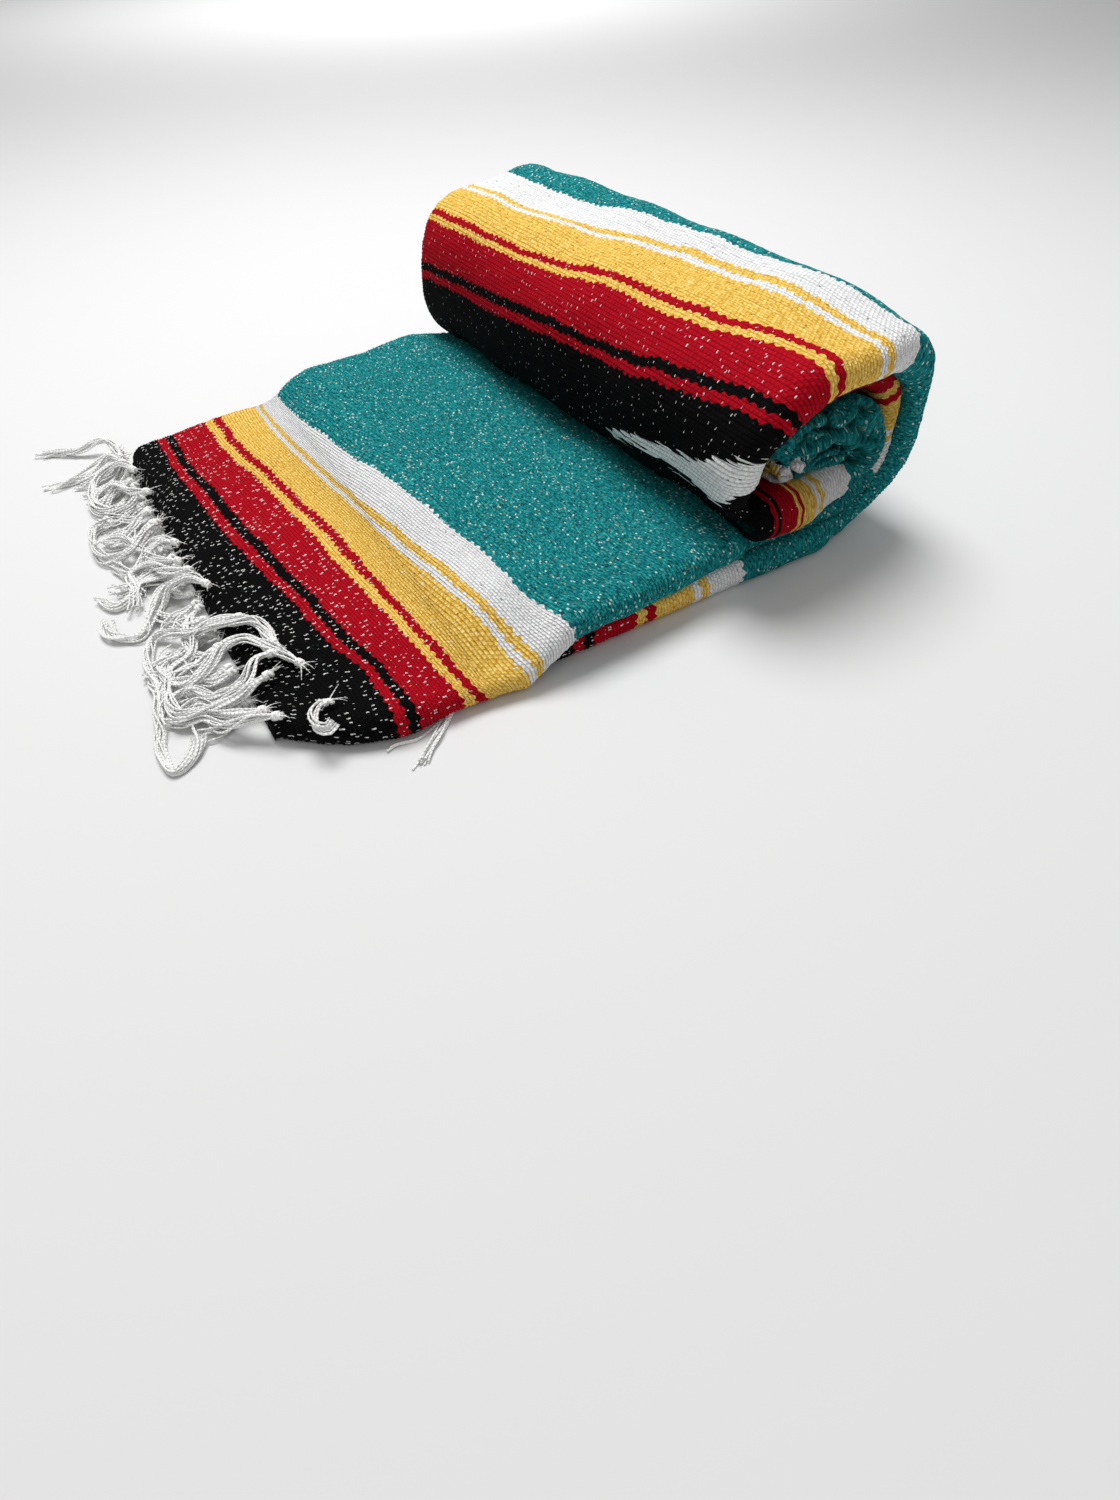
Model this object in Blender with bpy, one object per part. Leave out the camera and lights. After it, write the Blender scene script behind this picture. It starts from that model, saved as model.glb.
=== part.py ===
"""A Mexican serape blanket, folded lengthwise into a thick strip, doubled fringe to fringe and rolled up.

The strip is two stacked slabs of folded cloth. Both lie flat at the fringe end, where the upper one reaches
further, and both wind into the roll: the lower slab is the outside of the roll, the upper one lies inside it.
Units are metres, +Z is up. X runs along the strip from the fringe to the roll, and Y across the strip.
"""

import math

import bmesh
import bpy

# Driving sizes
STRIP_WIDTH = 0.360  # a 1.45 m wide blanket folded in four
SLAB = 0.0172  # four layers of cloth, lightly pressed
GAP = 0.0003  # between neighbouring stretches
PITCH = SLAB + GAP  # from the middle of one slab to the middle of the next
ROLL_HEIGHT = 0.1270  # at the near end
ROLL_RIGHT = 0.3464  # outermost X of the roll at its near end
ROLL_FRONT = 0.1985  # outermost X of the roll on the fringe side
ROLL_SKEW = -0.014  # how far the roll's far end leans towards the fringe
ROLL_SWELL = 0.045  # how much fuller the roll is at its far end, as a share of its height

# The strip's flat run
UPPER_END = -0.0504  # X of the upper slab's fringe edge
LOWER_END = 0.0790  # X of the lower slab's fringe edge at its near side
LOWER_SLANT = 0.030  # how much further back that edge is at its far side
RISE_START = 0.0300  # where the upper slab starts to climb onto the lower one
RISE_LENGTH = 0.0485
TURN_START = 0.2160  # where the flat run gives way to the roll
FLAT_END = 0.2900  # where the strip leaves the surface

# The roll's bends, as radii of the lower slab's middle line
BEND_LOW = ROLL_RIGHT - SLAB / 2 - FLAT_END
BEND_TOP = 0.0470
BEND_FRONT = 0.0440
BEND_NIP = 0.0220
SECOND_RETURN = 0.026  # how far the second turn runs back over the core

# Corners of the upper slab, seen from above
CORNER_NEAR = 0.045
CORNER_FAR = 0.018
CORNER_START = 0.003  # the corner arcs start this far in, so that the end keeps a straight edge

# How far the upper slab hangs over the near edge of the lower one, where its climb ends
OVERHANG = 0.010

# Insets of the stretches' edges, front and back, inside the roll
INNER_INSET = 0.004
SECOND_INSET = 0.007
CORE_INSET = 0.012
CORE_SETBACK = 0.006  # how far past the nip's slab the core starts

# Fringe
FRINGE_REACH = 0.060
FRINGE_HEIGHT = 0.013
FRINGE_FAR = 0.048  # how far the fringe spreads past the far edge of the strip
FRINGE_NEAR = 0.024  # how far short of the near edge it stays
FRINGE_BEVEL = 0.004
LOWER_FRINGE_HEIGHT = 0.0018
LOWER_FRINGE_BEVEL = 0.0003
LOWER_FRINGE_NEAR = 0.010  # from the near edge of the strip
LOWER_FRINGE_FAR = 0.020  # from its far edge
LOWER_FRINGE_REACH = 0.012
TASSEL_TIP = (0.000, -0.026)  # the one tassel of the lower fringe that lies in sight ends here

STEP = 0.008  # spacing of the sections on a straight run
ARC_STEP = math.radians(11.25)
EDGE_STEPS = 4  # facets of a rounded edge
SAME_POINT = 0.1  # profile points closer than this share of the edge's radius are one
BULGE_ANGLES = (30, 55, 78)  # where a rounded end has its sections, in degrees
SHARP_ANGLE = 40  # edges bent more than this stay sharp, in degrees

TEAL = (0.012, 0.260, 0.270)
RED = (0.450, 0.004, 0.018)
BLACK = (0.006, 0.006, 0.007)
COTTON = (0.800, 0.800, 0.780)


def material(name, colour, roughness=0.95):
    made = bpy.data.materials.new(name)
    made.use_nodes = True
    shader = made.node_tree.nodes["Principled BSDF"]
    shader.inputs["Base Color"].default_value = (*colour, 1)
    shader.inputs["Roughness"].default_value = roughness
    shader.inputs["Metallic"].default_value = 0
    return made


class Line:
    """A middle line in the XZ plane, drawn like a pen that goes straight or turns."""

    def __init__(self, x, z, heading=0.0):
        self.points = [(x, z, heading)]

    def straight(self, length):
        x, z, heading = self.points[-1]
        steps = max(1, round(length / STEP))
        for i in range(1, steps + 1):
            run = length * i / steps
            self.points.append((x + run * math.cos(heading), z + run * math.sin(heading), heading))
        return self

    def turn(self, radius, degrees):
        """Turns left for positive degrees, right for negative ones."""
        x, z, heading = self.points[-1]
        angle = math.radians(degrees)
        side = math.copysign(1, angle)
        middle = (x - side * radius * math.sin(heading), z + side * radius * math.cos(heading))
        steps = max(2, round(abs(angle) / ARC_STEP))
        for i in range(1, steps + 1):
            now = heading + angle * i / steps
            point_x = middle[0] + side * radius * math.sin(now)
            point_z = middle[1] - side * radius * math.cos(now)
            self.points.append((point_x, point_z, now))
        return self


def edge_profile(thickness, folds):
    """One edge of a slab from its underside to its top, as (how far in, height) pairs."""
    radius = thickness / 2 / folds
    profile = []
    for fold in range(folds):
        middle = -thickness / 2 + radius * (2 * fold + 1)
        for i in range(EDGE_STEPS + 1):
            angle = -math.pi / 2 + math.pi * i / EDGE_STEPS
            point = (radius * (1 - math.cos(angle)), middle + radius * math.sin(angle))
            if not profile or math.dist(point, profile[-1]) > radius * SAME_POINT:
                profile.append(point)
    return profile


def rounded_ends(line, start, end):
    """Extends a line by half a slab at each end asked for, with the thickness falling in a half round."""
    sections = [(x, z, heading, 1.0) for x, z, heading in line.points]
    bulges = [math.radians(angle) for angle in BULGE_ANGLES]

    def beyond(point, way):
        x, z, heading, _ = point
        for angle in bulges:
            run = way * SLAB / 2 * math.sin(angle)
            yield (x + run * math.cos(heading), z + run * math.sin(heading), heading, math.cos(angle))

    first = list(beyond(sections[0], -1))[::-1] if start else []
    last = list(beyond(sections[-1], 1)) if end else []
    return first + sections + last


def share_of(value, low, high):
    return min(1.0, max(0.0, (value - low) / (high - low)))


def ramp_at(x):
    """1 at the lower slab's fringe edge, falling to 0 at the upper slab's fringe edge and at the roll."""
    return min(share_of(x, UPPER_END, LOWER_END), share_of(x, TURN_START, LOWER_END))


def placed(x, y, z):
    """From the strip's own frame, where all is square, to where it lies: the lower slab's fringe edge runs
    further back at its far side, and the roll leans a little and is fuller at its far end."""
    across = y / STRIP_WIDTH
    along = (x - UPPER_END) / (ROLL_RIGHT - UPPER_END)
    slant = LOWER_SLANT * across * ramp_at(x)
    return x + slant + ROLL_SKEW * across * along, y, z * (1 + ROLL_SWELL * across * along)


def corner(run, radius):
    """How far a plan corner of the given radius pulls the edge in, at a distance from the end."""
    if run >= radius:
        return 0.0
    return radius - math.sqrt(radius**2 - (radius - run) ** 2)


def slab(name, colour, line, inset=0.0, start=False, end=False, folds=1, corners=(0, 0), overhang=0.0):
    """Sweeps the slab's section along a line; the long edges are rounded."""
    sections = rounded_ends(line, start, end)
    profile = edge_profile(SLAB, folds)
    mesh = bmesh.new()
    rings = []
    for x, z, heading, fullness in sections:
        run = max(0.0, x - sections[0][0]) + CORNER_START
        near = inset + corner(run, corners[0]) - overhang * ramp_at(x)
        far = STRIP_WIDTH - inset - corner(run, corners[1])
        outline = [(near + depth, height) for depth, height in profile]
        outline += [(far - depth, height) for depth, height in reversed(profile)]
        ring = []
        for y, height in outline:
            height *= fullness
            point = placed(x - height * math.sin(heading), y, z + height * math.cos(heading))
            ring.append(mesh.verts.new(point))
        rings.append(ring)
    for ring, following in zip(rings, rings[1:]):
        count = len(ring)
        for i in range(count):
            j = (i + 1) % count
            mesh.faces.new((ring[i], ring[j], following[j], following[i]))
    mesh.faces.new(rings[0])
    mesh.faces.new(rings[-1])
    return finish(name, colour, mesh)


def plate(name, colour, outline, height, edge):
    """A flat-bottomed solid of the given outline, with its top edge bevelled."""
    mesh = bmesh.new()
    bottom = [mesh.verts.new((x, y, 0)) for x, y in outline]
    side = [mesh.verts.new((x, y, height - edge)) for x, y in outline]
    middle_x = sum(x for x, _ in outline) / len(outline)
    middle_y = sum(y for _, y in outline) / len(outline)
    top = []
    for x, y in outline:
        reach = math.dist((x, y), (middle_x, middle_y))
        share = 1 - edge / reach
        top.append(mesh.verts.new((middle_x + (x - middle_x) * share, middle_y + (y - middle_y) * share, height)))
    for low, high in ((bottom, side), (side, top)):
        for i in range(len(outline)):
            j = (i + 1) % len(outline)
            mesh.faces.new((low[i], low[j], high[j], high[i]))
    mesh.faces.new(bottom)
    mesh.faces.new(top)
    return finish(name, colour, mesh)


def finish(name, colour, mesh):
    bmesh.ops.recalc_face_normals(mesh, faces=mesh.faces)
    data = bpy.data.meshes.new(name)
    mesh.to_mesh(data)
    mesh.free()
    made = bpy.data.objects.new(name, data)
    bpy.context.collection.objects.link(made)
    data.materials.append(colour)
    data.shade_smooth()
    data.set_sharp_from_angle(angle=math.radians(SHARP_ANGLE))
    return made


def around_roll(line, inwards):
    """Right side, top and front of the roll, for a slab whose middle line lies inwards of the outer one."""
    straight_up = ROLL_HEIGHT - SLAB - BEND_LOW - BEND_TOP
    across_top = ROLL_RIGHT - ROLL_FRONT - SLAB - BEND_TOP - BEND_FRONT
    line.turn(BEND_LOW - inwards, 90).straight(straight_up).turn(BEND_TOP - inwards, 90)
    return line.straight(across_top).turn(BEND_FRONT - inwards, 90)


def down_front():
    """The front's straight drop, which ends where the outer slab turns in above the flat run."""
    return ROLL_HEIGHT - SLAB / 2 - BEND_FRONT - BEND_NIP - (SLAB / 2 + 2 * PITCH)


def lower_slab(teal, black):
    low = SLAB / 2
    flat = Line(LOWER_END, low).straight(TURN_START - LOWER_END)
    slab("lower_flap", black, flat)
    outer = Line(TURN_START + GAP, low).straight(FLAT_END - TURN_START - GAP)
    around_roll(outer, 0).straight(down_front()).turn(BEND_NIP, 90)
    slab("outer_turn", teal, outer)
    nip_x, nip_z, _ = outer.points[-1]
    fold = PITCH + GAP * 2
    fold_x = ROLL_RIGHT - SLAB / 2 - 2 * PITCH - fold
    second = Line(nip_x + GAP, nip_z).straight(fold_x - nip_x - GAP)
    second.turn(fold, 180).straight(SECOND_RETURN)
    slab("second_turn", teal, second, inset=SECOND_INSET, end=True)
    return nip_x, nip_z, fold_x


def upper_slab(red, teal):
    angle = 2 * math.degrees(math.atan(PITCH / RISE_LENGTH))
    radius = RISE_LENGTH / 2 / math.sin(math.radians(angle))
    flat = Line(UPPER_END, SLAB / 2).straight(RISE_START - UPPER_END)
    flat.turn(radius, angle).turn(radius, -angle)
    flat.straight(TURN_START - RISE_START - RISE_LENGTH)
    slab("upper_flap", red, flat, corners=(CORNER_NEAR, CORNER_FAR), overhang=OVERHANG)
    inner = Line(TURN_START + GAP, SLAB / 2 + PITCH).straight(FLAT_END - TURN_START - GAP)
    around_roll(inner, PITCH).straight(down_front())
    slab("inner_turn", teal, inner, inset=INNER_INSET, end=True)


def core(teal, nip_x, nip_z, fold_x):
    """The doubled end of the strip, caught in the middle of the roll; its edges show two folds."""
    start_x = nip_x + SLAB / 2 + CORE_SETBACK
    middle = Line(start_x, nip_z + PITCH + GAP).straight(fold_x - start_x)
    slab("core", teal, middle, inset=CORE_INSET, start=True, end=True, folds=2)


def fringes(cotton):
    reach = UPPER_END - FRINGE_REACH
    edge = UPPER_END - GAP * 2
    far = STRIP_WIDTH + FRINGE_FAR
    outline = [
        (edge, FRINGE_NEAR + 0.012),
        (edge, STRIP_WIDTH + GAP * 4),
        (edge + 0.006, STRIP_WIDTH + 0.012),
        (reach + 0.030, far),
        (reach + 0.006, far - 0.012),
        (reach, STRIP_WIDTH * 0.80),
        (reach + 0.006, STRIP_WIDTH * 0.55),
        (reach, STRIP_WIDTH * 0.30),
        (reach + 0.010, FRINGE_NEAR + 0.006),
        (reach + 0.035, FRINGE_NEAR),
    ]
    plate("upper_fringe", cotton, outline, FRINGE_HEIGHT, FRINGE_BEVEL)
    near_y = LOWER_FRINGE_NEAR
    far_y = STRIP_WIDTH - LOWER_FRINGE_FAR
    near_back = placed(LOWER_END, near_y, 0)[0] - GAP * 2
    far_back = placed(LOWER_END, far_y, 0)[0] - GAP * 2
    tip_x, tip_y = TASSEL_TIP
    outline = [
        (tip_x - 0.004, tip_y + 0.003),
        (tip_x + 0.005, tip_y),
        (0.048, -0.004),
        (near_back, near_y),
        (far_back, far_y),
        (far_back - LOWER_FRINGE_REACH, far_y),
        (near_back - 0.020, 0.020),
        (0.044, 0.002),
    ]
    plate("lower_fringe", cotton, outline, LOWER_FRINGE_HEIGHT, LOWER_FRINGE_BEVEL)


def stand_on_middle(objects):
    """Moves the model so that the origin is the bottom middle of its box."""
    points = [vertex.co for made in objects for vertex in made.data.vertices]
    low = [min(point[i] for point in points) for i in range(3)]
    high = [max(point[i] for point in points) for i in range(3)]
    shift = ((low[0] + high[0]) / 2, (low[1] + high[1]) / 2, low[2])
    for made in objects:
        for vertex in made.data.vertices:
            vertex.co = [vertex.co[i] - shift[i] for i in range(3)]


def main():
    for old in list(bpy.data.objects):
        bpy.data.objects.remove(old)
    teal = material("teal wool", TEAL)
    red = material("red stripes", RED)
    black = material("black stripes", BLACK)
    cotton = material("cotton fringe", COTTON, 0.9)
    upper_slab(red, teal)
    ends = lower_slab(teal, black)
    core(teal, *ends)
    fringes(cotton)
    stand_on_middle([made for made in bpy.data.objects if made.type == "MESH"])


main()
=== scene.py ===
"""The looks of a Mexican serape, folded into a strip, doubled and rolled up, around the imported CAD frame.

Each stretch of the strip is a tube of woven cloth: real weft ribs in the mesh, and the stripes, the warp
that shows between them and the yarn's texture in one procedural material. The fringes are meshes of threads.
"""

from dataclasses import dataclass
from typing import Callable

import bpy
import numpy as np
from mathutils import Matrix, Vector


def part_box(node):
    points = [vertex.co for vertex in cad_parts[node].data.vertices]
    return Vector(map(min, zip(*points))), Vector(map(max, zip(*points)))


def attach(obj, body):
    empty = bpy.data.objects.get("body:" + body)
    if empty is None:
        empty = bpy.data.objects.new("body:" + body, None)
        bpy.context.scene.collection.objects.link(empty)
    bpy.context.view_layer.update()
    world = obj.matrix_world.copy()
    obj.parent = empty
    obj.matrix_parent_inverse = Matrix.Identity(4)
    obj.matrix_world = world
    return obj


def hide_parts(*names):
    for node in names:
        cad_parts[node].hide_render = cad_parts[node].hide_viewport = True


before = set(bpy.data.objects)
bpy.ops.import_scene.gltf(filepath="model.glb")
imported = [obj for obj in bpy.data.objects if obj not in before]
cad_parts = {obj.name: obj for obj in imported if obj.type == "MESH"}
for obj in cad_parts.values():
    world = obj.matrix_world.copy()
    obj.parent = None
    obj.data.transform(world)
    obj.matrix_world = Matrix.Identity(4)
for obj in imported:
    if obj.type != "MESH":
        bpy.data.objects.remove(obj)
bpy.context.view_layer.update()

# ---------------- sizes, in metres, in the strip's own frame
# X runs along the strip from its first red line, Y across it from its near edge, and Z up from the surface.
WIDTH = 0.360
SLAB = 0.0172  # thickness of one folded slab
GAP = 0.0003
PITCH = SLAB + GAP
UPPER_END = -0.0504  # X of the upper slab's fringe edge
LOWER_END = 0.0790  # X of the lower slab's fringe edge
LOWER_SLANT = 0.030  # how much further back that edge is at its far side
RISE_START, RISE_LENGTH = 0.0300, 0.0485  # where the upper slab climbs onto the lower one
TURN_START = 0.2160  # where the flat run gives way to the roll
FLAT_END = 0.2900  # where the strip leaves the surface
ROLL_HEIGHT, ROLL_RIGHT, ROLL_FRONT = 0.1270, 0.3464, 0.1985
ROLL_SKEW = -0.014  # how far the roll's right side shifts at its far end
ROLL_SWELL = 0.045  # how much higher it is there, as a share
BEND_TOP, BEND_FRONT, BEND_NIP = 0.0470, 0.0440, 0.0220  # radii of the outermost slab's middle line
BEND_LOW = ROLL_RIGHT - SLAB / 2 - FLAT_END
SECOND_BACK, SECOND_CURL, SECOND_CURL_ANGLE = 0.034, 0.012, 85  # the second turn's way back over the core
CORE_REACH = 0.006  # how far the core goes past the middle of the fold round it
INNER_INSET, SECOND_INSET, CORE_INSET = 0.004, 0.007, 0.012  # from the strip's edges

# From the strip's own frame to the row frame, as the CAD lays it
SHIFT = np.array([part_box("upper_flap")[0][0] - UPPER_END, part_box("second_turn")[0][1] - SECOND_INSET, 0.0])

RIB = 0.0021  # from one weft rib to the next
WARP = 0.0025  # from one warp cord to the next
BEAD = 0.0056  # from one scallop of a stripe's edge to the next
DASH_ROW, DASH_COLUMN = 0.0042, 0.0038  # from one dash of bare warp to the next, along and across the strip
FLECK_ROW, FLECK_COLUMN = 0.0008, 0.0012  # size of a stray fibre, along and across the strip

# Where each colour starts, from the first red line towards the teal band
STRIPES = [
    (-1.0, "black"),
    (0.0, "red"),
    (0.0062, "black"),
    (0.0127, "red"),
    (0.0401, "yellow"),
    (0.0460, "red"),
    (0.0527, "yellow"),
    (0.0790, "white"),
    (0.0845, "yellow"),
    (0.0900, "white"),
    (0.1155, "teal"),
]
TEAL_FROM = STRIPES[-1][0]

random = np.random.default_rng(7)


# ---------------- curves and noise
def share_of(value, low, high):
    return np.clip((value - low) / (high - low), 0, 1)


def smooth(value, low, high):
    t = share_of(value, low, high)
    return t * t * (3 - 2 * t)


def hump(value, rise, full, fall, end):
    """Rises from 0 to 1 between rise and full, and falls back to 0 between fall and end."""
    return smooth(value, rise, full) * smooth(value, end, fall)


def bump_at(value, middle, reach):
    return np.exp(-(((value - middle) / reach) ** 2))


def rounded(share):
    """The height of a round end, from its share of the radius in from the tip."""
    return np.sqrt(np.clip(1 - (1 - share) ** 2, 0, 1))


def table(value, xs, ys):
    """A smooth curve through a few points with rising xs, level beyond them."""
    xs, ys = np.asarray(xs, float), np.asarray(ys, float)
    slopes = np.gradient(ys, xs)
    value = np.clip(value, xs[0], xs[-1])
    i = np.clip(np.searchsorted(xs, value) - 1, 0, len(xs) - 2)
    run = xs[i + 1] - xs[i]
    t = (value - xs[i]) / run
    a = (2 * t**3 - 3 * t**2 + 1) * ys[i] + (t**3 - 2 * t**2 + t) * run * slopes[i]
    return a + (3 * t**2 - 2 * t**3) * ys[i + 1] + (t**3 - t**2) * run * slopes[i + 1]


def ripples(u, v, size, seed, waves=14):
    """Smooth seeded waves over two coordinates, about size across, mostly between -1 and 1."""
    rng = np.random.default_rng(seed)
    total = 0
    for _ in range(waves):
        angle, phase = rng.uniform(0, 2 * np.pi, 2)
        pace = 2 * np.pi / size * rng.uniform(0.6, 1.5)
        total = total + np.sin(pace * (u * np.cos(angle) + v * np.sin(angle)) + phase)
    return total / np.sqrt(waves)


# ---------------- the strip's path
class Path:
    """A middle line in the XZ plane made of straight runs and arcs, read by its length."""

    def __init__(self, x, z, heading=0.0):
        self.start = (x, z, heading)
        self.parts = []

    def straight(self, length):
        self.parts.append((length, None))
        return self

    def turn(self, radius, degrees):
        """Turns left for positive degrees, right for negative ones."""
        angle = np.radians(degrees)
        self.parts.append((abs(angle) * radius, np.sign(angle) * radius))
        return self

    @property
    def length(self):
        return sum(length for length, _ in self.parts)

    def at(self, run):
        """X, Z and heading at each length along the path; past its ends it goes straight on."""
        x, z, heading = self.start
        found = [np.empty_like(run) for _ in range(3)]
        mask = np.ones_like(run, bool)
        begun = 0.0
        for length, radius in [(0.0, None), *self.parts, (0.0, None)]:
            ahead = run[mask] - begun
            if radius is None:
                found[0][mask] = x + ahead * np.cos(heading)
                found[1][mask] = z + ahead * np.sin(heading)
                found[2][mask] = heading
                x, z = x + length * np.cos(heading), z + length * np.sin(heading)
            else:
                now = heading + ahead / radius
                middle = (x - radius * np.sin(heading), z + radius * np.cos(heading))
                found[0][mask] = middle[0] + radius * np.sin(now)
                found[1][mask] = middle[1] - radius * np.cos(now)
                found[2][mask] = now
                heading += length / radius
                x, z = middle[0] + radius * np.sin(heading), middle[1] - radius * np.cos(heading)
            begun += length
            mask = run >= begun
        return found


def around_roll(path, inwards):
    """Right side, top and front of the roll, for a slab that lies inwards of the outermost one."""
    path.turn(BEND_LOW - inwards, 90).straight(ROLL_HEIGHT - SLAB - BEND_LOW - BEND_TOP)
    path.turn(BEND_TOP - inwards, 90)
    path.straight(ROLL_RIGHT - ROLL_FRONT - SLAB - BEND_TOP - BEND_FRONT)
    return path.turn(BEND_FRONT - inwards, 90)


def main_paths():
    """The middle line of each stretch: upper and lower flap, outer, inner and second turn, core."""
    low = SLAB / 2
    angle = 2 * np.degrees(np.arctan(PITCH / RISE_LENGTH))
    radius = RISE_LENGTH / 2 / np.sin(np.radians(angle))
    upper = Path(UPPER_END, low).straight(RISE_START - UPPER_END).turn(radius, angle).turn(radius, -angle)
    upper.straight(TURN_START - RISE_START - RISE_LENGTH)
    lower = Path(LOWER_END, low).straight(TURN_START - LOWER_END)
    down = ROLL_HEIGHT - SLAB / 2 - BEND_FRONT - BEND_NIP - (SLAB / 2 + 2 * PITCH)
    outer = Path(TURN_START, low).straight(FLAT_END - TURN_START)
    around_roll(outer, 0).straight(down).turn(BEND_NIP, 90)
    inner = Path(TURN_START, low + PITCH).straight(FLAT_END - TURN_START)
    around_roll(inner, PITCH).straight(down)
    fold = PITCH + GAP * 2
    nip_x, nip_z = ROLL_FRONT + SLAB / 2 + BEND_NIP, low + 2 * PITCH
    fold_x = ROLL_RIGHT - SLAB / 2 - 2 * PITCH - fold
    second = Path(nip_x, nip_z).straight(fold_x - nip_x).turn(fold, 180)
    second.straight(SECOND_BACK).turn(SECOND_CURL, SECOND_CURL_ANGLE)
    core_x = nip_x + SLAB / 2
    core = Path(core_x, nip_z + PITCH + GAP).straight(fold_x + CORE_REACH - core_x)
    return upper, lower, outer, inner, second, core


def ramp_at(x):
    """1 at the lower slab's fringe edge, falling to 0 at the upper slab's fringe edge and at the roll."""
    return np.minimum(share_of(x, UPPER_END, LOWER_END), share_of(x, TURN_START, LOWER_END))


def along_strip(x):
    """0 at the upper slab's fringe edge and 1 at the roll's right side."""
    return (x - UPPER_END) / (ROLL_RIGHT - UPPER_END)


def leaned(x, across):
    """X with the lower slab's slant and the roll's skew, at a share of the strip's width."""
    return x + LOWER_SLANT * across * ramp_at(x) + ROLL_SKEW * across * along_strip(x)


def placed(points):
    """From the strip's own frame to the row frame, as the CAD lays it."""
    x, y, z = points[..., 0], points[..., 1], points[..., 2]
    across = y / WIDTH
    return np.stack([leaned(x, across), y, z * (1 + ROLL_SWELL * across * along_strip(x))], -1) + SHIFT


# ---------------- meshes
def link(name, data):
    """A new object with this data, in the scene."""
    made = bpy.data.objects.new(name, data)
    bpy.context.collection.objects.link(made)
    return made


def mesh_object(name, points, faces, material, **attributes):
    """A mesh object from arrays, with point attributes of one or three numbers."""
    mesh = bpy.data.meshes.new(name)
    sides = faces.shape[1]
    mesh.vertices.add(len(points))
    mesh.vertices.foreach_set("co", points.astype(np.float32).ravel())
    mesh.loops.add(faces.size)
    mesh.loops.foreach_set("vertex_index", faces.astype(np.int32).ravel())
    mesh.polygons.add(len(faces))
    mesh.polygons.foreach_set("loop_start", np.arange(0, faces.size, sides, dtype=np.int32))
    mesh.polygons.foreach_set("loop_total", np.full(len(faces), sides, np.int32))
    mesh.update(calc_edges=True)
    mesh.validate()
    for key, values in attributes.items():
        values = np.asarray(values, np.float32)
        kind, field = ("FLOAT_VECTOR", "vector") if values.ndim == 2 else ("FLOAT", "value")
        mesh.attributes.new(key, kind, "POINT").data.foreach_set(field, values.ravel())
    mesh.shade_smooth()
    mesh.materials.append(material)
    return link(name, mesh)


def grid_faces(rows, columns):
    """Quads of a grid of points, with the last column joined to the first."""
    i = np.arange(rows - 1)[:, None] * columns
    j = np.arange(columns)[None, :]
    k = (j + 1) % columns
    return np.stack([i + j, i + columns + j, i + columns + k, i + k], -1).reshape(-1, 4)


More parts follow.
